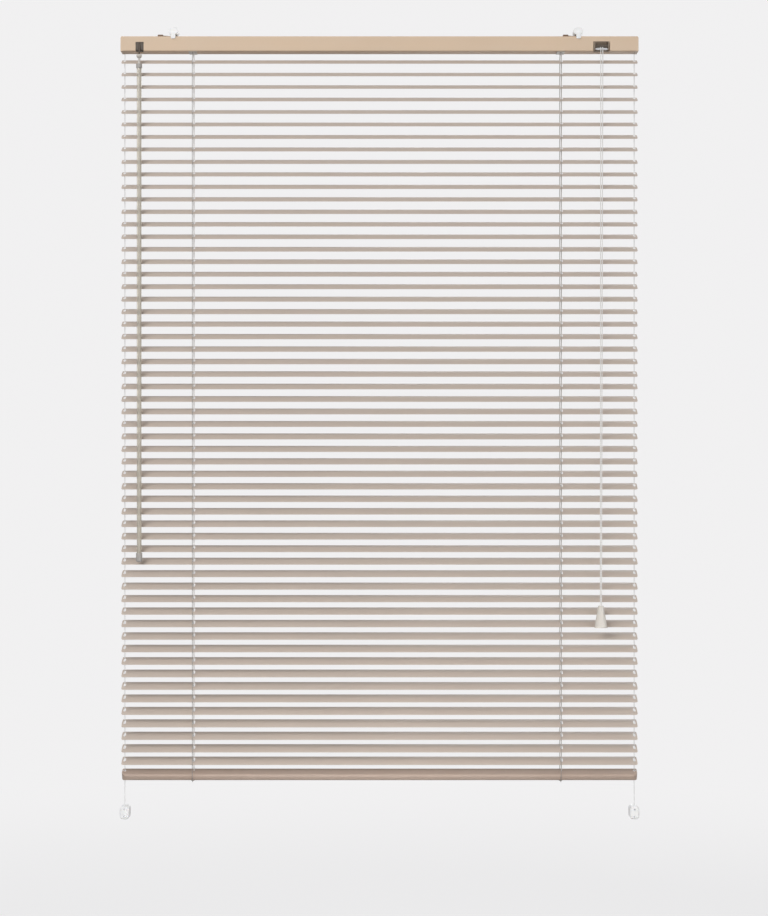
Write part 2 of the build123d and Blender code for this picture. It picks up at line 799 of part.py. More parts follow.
with BuildPart() as bottom_rail:
    with BuildSketch(slat_section(-tube_length / 2, bottom_z)):
        RectangleRounded(bottom_width, bottom_height, bottom_bend)
        RectangleRounded(
            bottom_width - 2 * bottom_sheet,
            bottom_height - 2 * bottom_sheet,
            bottom_bend - bottom_sheet,
            mode=Mode.SUBTRACT,
        )
    extrude(amount=tube_length)
    with BuildSketch(Plane.XY.offset(bottom_z)):
        for ladder_x in ladder_places.values():
            with Locations((ladder_x + cord_step, mid_y)):
                Circle(cord_exit_radius)
    extrude(amount=bottom_height, mode=Mode.SUBTRACT)
    with BuildSketch(slat_face(bottom_z)):
        for ladder_x in ladder_places.values():
            with Locations((ladder_x, -button_shift)):
                Circle(button_stem_radius + hub_gap)
    extrude(amount=-bottom_height, mode=Mode.SUBTRACT)
keep(bottom_rail, "bottom_rail")

for side, sign in sides.items():
    with BuildPart() as bottom_cap:
        with BuildSketch(slat_section(sign * tube_length / 2, bottom_z)):
            RectangleRounded(bottom_width, bottom_height, bottom_bend)
        extrude(amount=sign * bottom_cap_length)
        cap_end = bottom_cap.faces().sort_by(Axis.X)[0 if sign < 0 else -1]
        chamfer(cap_end.edges(), bottom_cap_bevel)
        with BuildSketch(slat_section(sign * tube_length / 2, bottom_z)):
            RectangleRounded(
                bottom_width - 2 * (bottom_sheet + fit_gap),
                bottom_height - 2 * (bottom_sheet + fit_gap),
                bottom_bend - bottom_sheet,
            )
        extrude(amount=-sign * bottom_cap_spigot)
        with BuildSketch(slat_face(bottom_z)):
            with Locations((sign * slat_length / 2, -bottom_width / 2)):
                Rectangle(2 * bottom_cap_round, 2 * bottom_cap_round)
            round_x = slat_length / 2 - bottom_cap_round
            with Locations((sign * round_x, bottom_cap_round - bottom_width / 2)):
                Circle(bottom_cap_round, mode=Mode.SUBTRACT)
        extrude(amount=bottom_height, both=True, mode=Mode.SUBTRACT)
        with Locations((sign * guide_x, mid_y, bottom_z)):
            Cylinder(wire_radius + bottom_wire_gap, 2 * bottom_height, mode=Mode.SUBTRACT)
    keep(bottom_cap, f"bottom_cap_{side}")

for side, ladder_x in ladder_places.items():
    foot = in_bottom_rail(-button_shift, -bottom_height / 2)
    with BuildPart() as button:
        with BuildSketch(Plane(origin=(ladder_x, *foot), x_dir=(1, 0, 0), z_dir=rise)):
            Circle(button_radius)
        extrude(amount=-button_thickness)
        chamfer(button.faces().sort_by(Axis.Z)[0].edges(), button_thickness / 2)
        with BuildSketch(Plane(origin=(ladder_x, *foot), x_dir=(1, 0, 0), z_dir=rise)):
            Circle(button_stem_radius)
        extrude(amount=bottom_sheet + button_stem_grip)
    keep(button, f"ladder_button_{side}")

# Guide wires: taut from the end caps through the slats and the bottom rail to the holders
for side, sign in sides.items():
    with BuildPart() as guide_wire:
        with BuildSketch(Plane.XY.offset(rail_mid_z)):
            with Locations((sign * guide_x, mid_y)):
                Circle(wire_radius)
        extrude(amount=holder_z - rail_mid_z)
    keep(guide_wire, f"guide_wire_{side}")

# Clamps: a moulded block on the panel's face, which the rail hangs under, and a sheet hook over its top edge
clamp_foot = 2 * catch_gap + catch_tab_height
clamp_front = rail_front + clamp_nose
tongue_back = rail_front - fit_gap
slot_half = hook_sheet / 2 + hook_slot_gap
tab_y = rail_front + catch_tab_set_back + catch_tab_depth / 2

for side, clamp_x in clamp_places.items():
    with BuildPart() as clamp_body:
        with BuildSketch(facing(-clamp_setback)) as block:
            with Locations((clamp_x, (clamp_foot + clamp_top) / 2)):
                Rectangle(clamp_width, clamp_top - clamp_foot)
            fillet(block.vertices(), clamp_round)
        extrude(amount=-clamp_setback - clamp_front)
        with BuildSketch(facing(0)):
            with Locations((clamp_x, -clamp_plate_drop / 2)):
                Rectangle(clamp_width, clamp_plate_drop)
        extrude(amount=clamp_plate)
        with BuildSketch(facing(-clamp_setback)):
            with Locations((clamp_x, clamp_foot / 2)):
                Rectangle(clamp_width, clamp_foot)
        extrude(amount=clamp_plate - clamp_setback)
        with BuildSketch(facing(clamp_front)):
            with Locations((clamp_x, (clamp_foot + tongue_top) / 2)):
                Rectangle(tongue_width, tongue_top - clamp_foot)
        extrude(amount=clamp_front - tongue_back + tongue_thickness)
        with BuildSketch(facing(tongue_back)) as tongue:
            with Locations((clamp_x, (tongue_top - tongue_drop) / 2)):
                Rectangle(tongue_width, tongue_top + tongue_drop)
            fillet(tongue.vertices(), tongue_round)
        extrude(amount=tongue_thickness)
        with BuildSketch(Plane.XY.offset(clamp_foot)):
            with Locations((clamp_x, mid_y)):
                Circle(catch_pin_radius + running_gap)
        extrude(amount=catch_pin_height + catch_gap - clamp_foot, mode=Mode.SUBTRACT)
        with BuildSketch(facing(0)):
            with Locations((clamp_x, hook_slot_height)):
                Rectangle(hook_width + 2 * hook_slot_gap, 2 * slot_half)
        extrude(amount=hook_reach + catch_gap, mode=Mode.SUBTRACT)
        with BuildSketch(Plane.XY.offset(hook_slot_height)):
            with Locations((clamp_x, mid_y)):
                Circle(clamp_screw_radius + clamp_screw_gap)
        extrude(amount=clamp_top, mode=Mode.SUBTRACT)
    keep(clamp_body, f"clamp_body_{side}")

    with BuildPart() as clamp_hook:
        with BuildSketch(across(clamp_x)):
            with BuildLine():
                Polyline(
                    (-hook_reach, hook_slot_height),
                    (hook_sheet / 2, hook_slot_height),
                    (hook_sheet / 2, hook_sheet / 2),
                    (jaw + hook_sheet / 2, hook_sheet / 2),
                    (jaw + hook_sheet / 2, -jaw_drop),
                )
            trace(line_width=hook_sheet)
        extrude(amount=hook_width / 2, both=True)
    keep(clamp_hook, f"clamp_hook_{side}")

    with BuildPart() as swivel_catch:
        with BuildSketch(Plane.XY.offset(catch_gap)):
            with Locations((clamp_x, mid_y)):
                Circle(catch_hub)
            with BuildLine():
                Line((clamp_x, mid_y), (clamp_x - catch_reach, tab_y))
            trace(line_width=catch_lever_width)
        extrude(amount=catch_lever)
        with BuildSketch(Plane.XY.offset(catch_gap)):
            with Locations((clamp_x - catch_reach, tab_y)):
                RectangleRounded(catch_tab_width, catch_tab_depth, catch_tab_round)
        extrude(amount=catch_tab_height)
        with BuildSketch(Plane.XY.offset(-rail_sheet - catch_gap)):
            with Locations((clamp_x, mid_y)):
                SlotOverall(catch_wing_length, catch_wing_width, rotation=90)
        extrude(amount=-catch_wing)
        with BuildSketch(Plane.XY.offset(-rail_sheet - catch_gap - catch_wing)):
            with Locations((clamp_x, mid_y)):
                Circle(catch_pin_radius)
        extrude(amount=rail_sheet + catch_gap + catch_wing + catch_pin_height)
    keep(swivel_catch, f"swivel_catch_{side}")

with BuildPart() as clamp_screws:
    with BuildSketch(Plane.XY.offset(hook_slot_height + hook_sheet / 2)):
        with Locations(*[(clamp_x, mid_y) for clamp_x in clamp_places.values()]):
            Circle(clamp_screw_radius)
    extrude(amount=clamp_top - clamp_screw_sink - hook_slot_height - hook_sheet / 2)
    with BuildSketch(Plane.XY.offset(clamp_top - clamp_screw_sink)):
        with Locations(*[(clamp_x, mid_y) for clamp_x in clamp_places.values()]):
            RegularPolygon(screw_socket / 2, 6, major_radius=False)
    extrude(amount=-screw_socket_depth, mode=Mode.SUBTRACT)
keep(clamp_screws, "clamp_screws")

# Holders: rounded blocks on the panel that keep the guide wires taut
wire_screw_y = mid_y - wire_radius - cord_gap
for side, sign in sides.items():
    with BuildPart() as guide_holder:
        with BuildSketch(facing(0)):
            with Locations((sign * guide_x, holder_z)):
                RectangleRounded(holder_width, holder_height, holder_round)
        extrude(amount=holder_depth)
        chamfer(guide_holder.faces().sort_by(Axis.Y)[0].edges(), holder_edge)
        with BuildSketch(Plane.XY.offset(holder_z)):
            with Locations((sign * guide_x, mid_y)):
                Circle(wire_radius + wire_hole_gap)
        extrude(amount=holder_height, mode=Mode.SUBTRACT)
        with BuildSketch(facing(wire_screw_y)):
            with Locations((sign * guide_x, holder_z + holder_screw_spacing / 2)):
                Circle(holder_screw_radius + holder_screw_gap)
        extrude(amount=holder_depth, mode=Mode.SUBTRACT)
        with BuildSketch(facing(0)):
            with Locations((sign * guide_x, holder_z - holder_screw_spacing / 2)):
                Circle(holder_screw_radius + holder_screw_gap)
        extrude(amount=holder_depth, mode=Mode.SUBTRACT)
    keep(guide_holder, f"guide_holder_{side}")

screw_face = -(holder_depth - holder_screw_sink)
screw_tips = {holder_screw_spacing / 2: wire_screw_y, -holder_screw_spacing / 2: -holder_wall}
with BuildPart() as holder_screws:
    for sign in sides.values():
        for height, tip_y in screw_tips.items():
            with BuildSketch(facing(tip_y)):
                with Locations((sign * guide_x, holder_z + height)):
                    Circle(holder_screw_radius)
            extrude(amount=tip_y - screw_face)
keep(holder_screws, "holder_screws")
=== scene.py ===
import json
from math import asin, cos, pi, radians, sin, sqrt, tan

import bmesh
import bpy
from mathutils import Matrix, Vector


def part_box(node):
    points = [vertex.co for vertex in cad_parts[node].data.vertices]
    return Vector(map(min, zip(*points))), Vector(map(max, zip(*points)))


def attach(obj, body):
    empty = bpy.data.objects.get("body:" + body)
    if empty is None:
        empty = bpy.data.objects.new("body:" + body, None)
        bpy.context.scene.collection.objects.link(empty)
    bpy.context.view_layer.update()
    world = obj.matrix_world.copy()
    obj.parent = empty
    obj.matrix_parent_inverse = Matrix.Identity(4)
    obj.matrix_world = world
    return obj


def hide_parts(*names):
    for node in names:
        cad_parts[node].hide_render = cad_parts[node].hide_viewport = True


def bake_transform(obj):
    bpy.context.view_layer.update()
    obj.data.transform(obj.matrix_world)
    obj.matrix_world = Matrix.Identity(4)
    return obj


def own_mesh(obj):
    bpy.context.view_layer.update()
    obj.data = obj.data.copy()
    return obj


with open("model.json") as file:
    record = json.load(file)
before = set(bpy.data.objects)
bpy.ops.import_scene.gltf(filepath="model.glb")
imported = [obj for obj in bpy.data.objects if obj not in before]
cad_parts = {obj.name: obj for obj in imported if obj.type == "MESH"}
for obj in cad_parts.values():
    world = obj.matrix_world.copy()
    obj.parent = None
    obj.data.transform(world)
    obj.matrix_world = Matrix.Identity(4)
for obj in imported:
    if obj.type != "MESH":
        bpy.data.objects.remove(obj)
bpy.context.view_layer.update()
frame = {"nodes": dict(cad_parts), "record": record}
mm = 0.001
bodyOf = {node: body for body, nodes in frame["record"]["behaviour"]["bodies"].items() for node in nodes}
slotOf = {part["node"]: part["material_slot"] for part in frame["record"]["subparts"]}
sides = ("left", "right")
print("frame loaded,", len(frame["nodes"]), "nodes")


# camera, where the photograph was taken from
cameraSet = {"place": (7.2 * mm, -3114.8 * mm, -676 * mm), "lens": 75.73, "sensor": 36}

cameraData = bpy.data.cameras.new("camera")
cameraData.lens = cameraSet["lens"]
cameraData.sensor_width = cameraSet["sensor"]
camera = bpy.data.objects.new("camera", cameraData)
camera.location = cameraSet["place"]
camera.rotation_euler = (pi / 2, 0, 0)
bpy.context.collection.objects.link(camera)
bpy.context.scene.camera = camera
bpy.context.scene.view_settings.view_transform = "Standard"
print("camera set")


# materials
evenly = (1, 1, 1)
noiseSpan = (0.3, 0.7)  # where most of a noise lies


def node(tree, kind, links=(), **values):
    made = tree.nodes.new(kind)
    for name, value in values.items():
        if name in made.inputs:
            made.inputs[name].default_value = value
        else:
            setattr(made, name, value)
    for socket, source in links:
        tree.links.new(source, made.inputs[socket])
    return made


def noise(tree, stretch, scale, detail):
    where = node(tree, "ShaderNodeTexCoord").outputs["Object"]
    mapped = node(tree, "ShaderNodeMapping", [("Vector", where)], Scale=stretch)
    placed = [("Vector", mapped.outputs["Vector"])]
    return node(tree, "ShaderNodeTexNoise", placed, Scale=scale, Detail=detail).outputs["Fac"]


def spread(tree, value, low, high):
    made = node(tree, "ShaderNodeMapRange", [("Value", value)])
    made.inputs["From Min"].default_value, made.inputs["From Max"].default_value = noiseSpan
    made.inputs["To Min"].default_value = low
    made.inputs["To Max"].default_value = high
    return made.outputs["Result"]


def mixed(tree, factor, first, second):
    made = tree.nodes.new("ShaderNodeMix")
    made.data_type = "RGBA"
    tree.links.new(factor, made.inputs["Factor"])
    for socket, colour in (("A", first), ("B", second)):
        if isinstance(colour, bpy.types.NodeSocket):
            tree.links.new(colour, made.inputs[socket])
        else:
            made.inputs[socket].default_value = (*colour, 1)
    return made.outputs["Result"]


def shaded(colour, share):
    return tuple(channel * share for channel in colour)


def startMaterial(name):
    material = bpy.data.materials.new(name)
    material.use_nodes = True
    return material, material.node_tree, material.node_tree.nodes["Principled BSDF"]


def rough(tree, shader, height, strength, distance):
    bump = node(tree, "ShaderNodeBump", [("Height", height)], Strength=strength, Distance=distance)
    tree.links.new(bump.outputs["Normal"], shader.inputs["Normal"])


def rolledPaint(name, look):
    # coil-coated sheet: faint streaks along the rolling direction, thin dust and a fine orange peel
    material, tree, shader = startMaterial(name)
    cloudy = spread(tree, noise(tree, *look["patches"]), 0, 1)
    tone = mixed(tree, cloudy, look["colour"], shaded(look["colour"], look["patchShade"]))
    dust = spread(tree, noise(tree, *look["dustMarks"]), 0, look["dust"])
    tree.links.new(mixed(tree, dust, tone, look["dustColour"]), shader.inputs["Base Color"])
    streaks = noise(tree, *look["streaks"])
    tree.links.new(spread(tree, streaks, *look["roughness"]), shader.inputs["Roughness"])
    shader.inputs["Specular IOR Level"].default_value = look["specular"]
    shader.inputs["Coat Weight"].default_value = look["coat"]
    shader.inputs["Coat Roughness"].default_value = look["coatRoughness"]
    rough(tree, shader, noise(tree, *look["peel"]), *look["peelBump"])
    return material


def mouldedPlastic(name, look):
    # moulded plastic: slight flow marks, fine spark-eroded grain and a soft sheen
    material, tree, shader = startMaterial(name)
    flow = spread(tree, noise(tree, *look["flow"]), 0, 1)
    tone = mixed(tree, flow, look["colour"], shaded(look["colour"], look["flowShade"]))
    tree.links.new(tone, shader.inputs["Base Color"])
    grain = noise(tree, *look["grain"])
    tree.links.new(spread(tree, grain, *look["roughness"]), shader.inputs["Roughness"])
    shader.inputs["IOR"].default_value = look["ior"]
    shader.inputs["Transmission Weight"].default_value = look["clear"]
    shader.inputs["Subsurface Weight"].default_value = look["depth"]
    shader.inputs["Subsurface Radius"].default_value = look["depthRadius"]
    rough(tree, shader, grain, *look["grainBump"])
    return material


def platedSteel(name, look):
    # zinc-plated steel: drawn along its length, with a faint grey bloom
    material, tree, shader = startMaterial(name)
    bloom = spread(tree, noise(tree, *look["bloom"]), 0, 1)
    tone = mixed(tree, bloom, look["colour"], shaded(look["colour"], look["bloomShade"]))
    tree.links.new(tone, shader.inputs["Base Color"])
    shader.inputs["Metallic"].default_value = 1
    drawn = noise(tree, *look["drawn"])
    tree.links.new(spread(tree, drawn, *look["roughness"]), shader.inputs["Roughness"])
    rough(tree, shader, drawn, *look["drawnBump"])
    return material


def braidedCord(name, look):
    # woven cord: two families of strands that cross, drawn on the tube's own UV map, with painted shade in
    # the grooves between them
    material, tree, shader = startMaterial(name)
    where = node(tree, "ShaderNodeTexCoord").outputs["UV"]
    parts = node(tree, "ShaderNodeSeparateXYZ", [("Vector", where)])
    along = node(tree, "ShaderNodeMath", [(0, parts.outputs["X"])], operation="MULTIPLY")
    along.inputs[1].default_value = look["turns"]
    around = node(tree, "ShaderNodeMath", [(0, parts.outputs["Y"])], operation="MULTIPLY")
    around.inputs[1].default_value = look["strands"]
    waves = []
    for operation in ("ADD", "SUBTRACT"):
        crossing = node(
            tree, "ShaderNodeMath", [(0, along.outputs[0]), (1, around.outputs[0])], operation=operation
        )
        turned = node(tree, "ShaderNodeMath", [(0, crossing.outputs[0])], operation="MULTIPLY")
        turned.inputs[1].default_value = 2 * pi
        waves.append(node(tree, "ShaderNodeMath", [(0, turned.outputs[0])], operation="SINE"))
    weave = node(
        tree, "ShaderNodeMath", [(0, waves[0].outputs[0]), (1, waves[1].outputs[0])], operation="MAXIMUM"
    )
    raised = node(tree, "ShaderNodeMapRange", [("Value", weave.outputs[0])])
    raised.inputs["From Min"].default_value = look["grooveFloor"]
    # painted shade: the grooves get a darker copy of the cord's colour
    groove = shaded(look["colour"], look["grooveShade"])
    tone = mixed(tree, raised.outputs["Result"], groove, look["colour"])
    tree.links.new(tone, shader.inputs["Base Color"])
    shader.inputs["Roughness"].default_value = look["roughness"]
    shader.inputs["Sheen Weight"].default_value = look["sheen"]
    rough(tree, shader, raised.outputs["Result"], *look["weaveBump"])
    return material


# a noise is its stretch, scale and detail; a bump is its strength and height
paintLook = {
    "colour": (0.705, 0.535, 0.385), "patches": (evenly, 9, 3), "patchShade": 0.965,
    "streaks": ((0.02, 1, 1), 260, 4), "roughness": (0.44, 0.54), "specular": 0.26,
    "coat": 0.03, "coatRoughness": 0.25, "peel": (evenly, 1400, 3), "peelBump": (0.12, 0.02 * mm),
    "dust": 0.10, "dustMarks": ((0.3, 1, 1), 40, 6), "dustColour": (0.66, 0.60, 0.53),
}
slatLook = dict(
    paintLook, colour=(0.60, 0.51, 0.44), roughness=(0.40, 0.50), specular=0.25, coat=0.05,
    dust=0.14, dustColour=(0.58, 0.52, 0.47),
)
# painted shade: the bottom rail and its caps get a darker copy of the rail paint
shadedFootLook = dict(paintLook, colour=(0.445, 0.335, 0.27), specular=0.4)
plasticLook = {
    "flow": ((1, 1, 0.4), 70, 2), "flowShade": 0.95, "roughness": (0.34, 0.46), "ior": 1.48, "clear": 0,
    "grain": (evenly, 2600, 2), "grainBump": (0.10, 0.03 * mm),
    "depth": 0, "depthRadius": (0.6 * mm, 0.5 * mm, 0.4 * mm),
}
whiteLook = dict(plasticLook, colour=(0.90, 0.895, 0.89), depth=0.12)
paleLook = dict(plasticLook, colour=(0.60, 0.56, 0.51), depth=0.08)
greyLook = dict(plasticLook, colour=(0.40, 0.375, 0.35), roughness=(0.38, 0.5))
darkLook = dict(plasticLook, colour=(0.085, 0.064, 0.047), flowShade=0.7, roughness=(0.42, 0.56))
# painted shade: the swivel catches are steel levers in shade, given a dark brown colour
shadedLeverLook = dict(plasticLook, colour=(0.20, 0.115, 0.065), flowShade=0.85)
clearLook = dict(
    plasticLook, colour=(0.66, 0.615, 0.53), clear=0.5, roughness=(0.12, 0.20), ior=1.49,
    grainBump=(0.03, 0.03 * mm),
)
tasselLook = dict(plasticLook, colour=(0.95, 0.905, 0.84), clear=0.4, roughness=(0.16, 0.26), ior=1.46)
steelLook = {
    "colour": (0.60, 0.60, 0.61), "bloom": (evenly, 160, 3), "bloomShade": 0.82,
    "drawn": ((0.05, 1, 1), 1800, 3), "drawnBump": (0.15, 0.01 * mm), "roughness": (0.24, 0.40),
}
# painted light: the cord lock gets a lighter copy of the dark plastic
litLockLook = dict(plasticLook, colour=(0.30, 0.235, 0.175), flowShade=0.8, roughness=(0.40, 0.52))
# painted shade: the steel locking pin is darkened as if in the shade inside the cord lock
shadedPinLook = dict(steelLook, colour=(0.17, 0.145, 0.12), roughness=(0.38, 0.52))
cordLook = {
    "colour": (0.86, 0.845, 0.82), "grooveShade": 0.7, "grooveFloor": -0.6, "turns": 420, "strands": 4,
    "roughness": 0.75, "sheen": 0.25, "weaveBump": (0.6, 0.12 * mm),
}
stringLook = dict(cordLook, colour=(0.36, 0.33, 0.30), grooveShade=0.6, turns=560, strands=3)
wireLook = dict(plasticLook, colour=(0.70, 0.70, 0.69), roughness=(0.28, 0.38))

materials = {
    "rail_paint": rolledPaint("railPaint", paintLook),
    "slat_paint": rolledPaint("slatPaint", slatLook),
    "white_plastic": mouldedPlastic("whitePlastic", whiteLook),
    "pale_plastic": mouldedPlastic("palePlastic", paleLook),
    "grey_plastic": mouldedPlastic("greyPlastic", greyLook),
    "dark_plastic": mouldedPlastic("darkPlastic", darkLook),
    "brown_plastic": mouldedPlastic("brownPlastic", shadedLeverLook),
    "clear_plastic": mouldedPlastic("clearPlastic", clearLook),
    "tassel_plastic": mouldedPlastic("tasselPlastic", tasselLook),
    "wire_sheath": mouldedPlastic("wireSheath", wireLook),
    "steel": platedSteel("platedSteel", steelLook),
    "cord": braidedCord("braidedCord", cordLook),
    "ladder_string": braidedCord("ladderString", stringLook),
}
footPaint = rolledPaint("footPaint", shadedFootLook)
# pieces with a finish of their own: painted shade on the locking pin and the bottom rail, painted light on
# the cord lock
ownFinish = {
    "locking_pin": platedSteel("brownedSteel", shadedPinLook),
    "cord_lock": mouldedPlastic("lockPlastic", litLockLook),
    "bottom_rail": footPaint, "bottom_cap_left": footPaint, "bottom_cap_right": footPaint,
}
print("materials made:", len(materials) + len(set(ownFinish.values())))


# tools for the pieces
weldDistance = 0.002 * mm
flatAngle = radians(0.5)
roundAngle = 70  # degrees, up to which cords stay smooth


def finishPiece(name, source, slot, body, sharpAngle=32):
    # turns a bmesh into a piece with soft shading, its finish and the body it rides on
    source.normal_update()
    for face in source.faces:
        face.smooth = True
    for edge in source.edges:
        edge.smooth = not (edge.is_manifold and edge.calc_face_angle() > radians(sharpAngle))
    mesh = bpy.data.meshes.new(name)
    source.to_mesh(mesh)
    source.free()
    return keepPiece(bpy.data.objects.new(name, mesh), slot, body)


def keepPiece(piece, slot, body):
    bpy.context.collection.objects.link(piece)
    piece.data.materials.append(materials[slot])
    if body:
        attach(piece, body)
    return piece


def refined(nodeName, edgeWidth, segments=2, sharpAngle=28):
    # copy of a solid with its edges broken, as a moulded or folded piece has them
    source = bmesh.new()
    source.from_mesh(frame["nodes"][nodeName].data)
    bmesh.ops.remove_doubles(source, verts=source.verts, dist=weldDistance)
    bmesh.ops.dissolve_limit(source, angle_limit=flatAngle, verts=source.verts, edges=source.edges)
    limit = radians(sharpAngle)
    sharp = [edge for edge in source.edges if edge.is_manifold and edge.calc_face_angle() > limit]
    bmesh.ops.bevel(
        source, geom=sharp, offset=edgeWidth, offset_type="OFFSET", affect="EDGES", segments=segments,
        profile=0.5, clamp_overlap=True, material=-1,
    )
    name = "".join(word.capitalize() for word in nodeName.split("_"))
    piece = finishPiece(name[0].lower() + name[1:], source, slotOf[nodeName], bodyOf[nodeName])
    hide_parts(nodeName)
    if nodeName in ownFinish:
        piece.data.materials[0] = ownFinish[nodeName]
    piece.modifiers.new("flatFaces", "WEIGHTED_NORMAL").keep_sharp = True
    return piece


def edgesOf(vertices):
    return list(dict.fromkeys(edge for vertex in vertices for edge in vertex.link_edges))


def routeMesh(name, routes, radius, fineness, smooth=False):
    # tube along each route; a smooth route is a NURBS line with the points as its control points
    data = bpy.data.curves.new(name, "CURVE")
    data.dimensions = "3D"
    data.bevel_depth = radius
    data.bevel_resolution = fineness
    data.use_fill_caps = True
    data.resolution_u = 10
    for route in routes:
        spline = data.splines.new("NURBS" if smooth else "POLY")
        spline.points.add(len(route) - 1)
        for point, place in zip(spline.points, route):
            point.co = (*place, 1)
        if smooth:
            spline.order_u = 3
            spline.use_endpoint_u = True
    holder = bpy.data.objects.new(name, data)
    bpy.context.collection.objects.link(holder)
    bpy.context.view_layer.update()
    shaped = holder.evaluated_get(bpy.context.evaluated_depsgraph_get())
    mesh = bpy.data.meshes.new_from_object(shaped)
    bpy.data.objects.remove(holder)
    bpy.data.curves.remove(data)
    for polygon in mesh.polygons:
        polygon.use_smooth = True
    mesh.name = name
    return mesh


# where the main pieces are
midY = sum(corner.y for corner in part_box("head_rail")) / 2
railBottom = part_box("head_rail")[0].z
guideX = sum(corner.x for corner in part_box("guide_wire_right")) / 2
ladderX = {side: sum(corner.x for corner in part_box(f"ladder_{side}")) / 2 for side in sides}
knotRadius = 1.6 * mm
cordX = {side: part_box(f"lift_cord_{side}")[0].x + knotRadius for side in sides}


def carryRow(piece):
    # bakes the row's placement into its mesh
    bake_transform(piece)


# pull cords: two braided cords from the roller down to the tassel
pullCord = {
    "radius": 0.7 * mm, "exits": {"left": 354.4 * mm, "right": 357.6 * mm}, "endStep": 0.9 * mm,
    "rollerBack": -25.3 * mm, "front": -28.9 * mm, "overRoller": -17.7 * mm, "belowRoller": -27 * mm,
    "intoTassel": 17.5 * mm, "length": 0.914, "fineness": 3,
}
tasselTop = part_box("cord_tassel")[1].z
tasselX, tasselY = (sum(corner[axis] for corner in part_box("cord_tassel")) / 2 for axis in (0, 1))
cordFoot = tasselTop - pullCord["intoTassel"]
cordEnds = {"left": tasselX - pullCord["endStep"], "right": tasselX + pullCord["endStep"]}

for side in sides:
    exitX, endX = pullCord["exits"][side], cordEnds[side]
    route = [
        (exitX, pullCord["rollerBack"], pullCord["overRoller"]),
        (exitX, pullCord["front"], pullCord["overRoller"]),
        (exitX, pullCord["front"], pullCord["belowRoller"]),
        (endX, tasselY, cordFoot),
    ]
    line = routeMesh(f"pullLine{side}", [route], 0, 0, True)
    bpy.data.meshes.remove(line)
    tubeMesh = routeMesh(f"pullCord_{side}", [route], pullCord["radius"], pullCord["fineness"], True)
    tube = bpy.data.objects.new(f"pullCord_{side}", tubeMesh)
    keepPiece(tube, "cord", None)
    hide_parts(f"pull_cord_{side}")
    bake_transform(tube)
print("pull cords hung")


# slats: a flat outline with its punched holes, crowned, thickened, tilted and repeated
slat = {
    "count": 57, "pitch": 20.07 * mm, "length": 828 * mm, "width": 25 * mm, "crown": 1.9 * mm,
    "sheet": 0.21 * mm, "tilt": 23, "cornerRadius": 2.6 * mm, "cornerSteps": 5, "strips": 12,
    "firstZ": -39.4 * mm, "stackPitch": 0.7 * mm, "overRail": 7.7 * mm,
    "guideHole": (3.6 * mm, 10 * mm), "cordHole": (4.0 * mm, 11 * mm), "holeSides": 16,
    "cutTolerance": 1e-7, "sharpAngle": 60,
}
crownRadius = (slat["width"] ** 2 / 4 + slat["crown"] ** 2) / (2 * slat["crown"])


def crownAt(across):
    return sqrt(crownRadius**2 - across**2) - (crownRadius - slat["crown"])


def punchHole(source, x, size):
    # round-ended hole: a circle with its two halves drawn apart
    half = size[0] / 2
    ring = bmesh.ops.create_circle(source, segments=slat["holeSides"], radius=half)["verts"]
    for vertex in ring:
        vertex.co.y += (size[1] / 2 - half) * (1 if vertex.co.y > 0 else -1)
        vertex.co.x += x


def flatSlat():
    source = bmesh.new()
    bmesh.ops.create_grid(source, x_segments=1, y_segments=1, size=0.5)
    bmesh.ops.scale(source, vec=(slat["length"], slat["width"], 1), verts=source.verts)
    bmesh.ops.bevel(
        source, geom=source.verts[:], offset=slat["cornerRadius"], offset_type="OFFSET",
        affect="VERTICES", segments=slat["cornerSteps"], profile=0.5, material=-1,
    )
    bmesh.ops.delete(source, geom=source.faces[:], context="FACES_ONLY")
    for x in (-guideX, guideX):
        punchHole(source, x, slat["guideHole"])
    for x in cordX.values():
        punchHole(source, x, slat["cordHole"])
    bmesh.ops.triangle_fill(source, use_beauty=True, use_dissolve=False, edges=source.edges[:])
    return source


oneSlat = flatSlat()
for strip in range(1, slat["strips"]):
    cutY = slat["width"] * (strip / slat["strips"] - 0.5)
    everything = oneSlat.verts[:] + oneSlat.edges[:] + oneSlat.faces[:]
    bmesh.ops.bisect_plane(
        oneSlat, geom=everything, dist=slat["cutTolerance"], plane_co=(0, cutY, 0), plane_no=(0, 1, 0)
    )
for vertex in oneSlat.verts:
    vertex.co.z = crownAt(vertex.co.y) + slat["sheet"]
bmesh.ops.recalc_face_normals(oneSlat, faces=oneSlat.faces[:])
if sum(face.normal.z for face in oneSlat.faces) < 0:
    bmesh.ops.reverse_faces(oneSlat, faces=oneSlat.faces[:])
bmesh.ops.solidify(oneSlat, geom=oneSlat.faces[:], thickness=-slat["sheet"])
bmesh.ops.recalc_face_normals(oneSlat, faces=oneSlat.faces[:])
slatMesh = bpy.data.meshes.new("oneSlat")
oneSlat.to_mesh(slatMesh)
oneSlat.free()

for row in range(slat["count"]):
    one = bmesh.new()
    one.from_mesh(slatMesh)
    place = Matrix.Translation((0, midY, slat["firstZ"] - slat["pitch"] * row))
    tilted = place @ Matrix.Rotation(radians(slat["tilt"]), 4, "X")
    bmesh.ops.transform(one, matrix=tilted, verts=one.verts)
    made = finishPiece(f"slat{row + 1:02}", one, "slat_paint", None, slat["sharpAngle"])
    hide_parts("slats")
    carryRow(made)
print("slats made:", slat["count"], "with", len(slatMesh.polygons), "faces each")
bpy.data.meshes.remove(slatMesh)


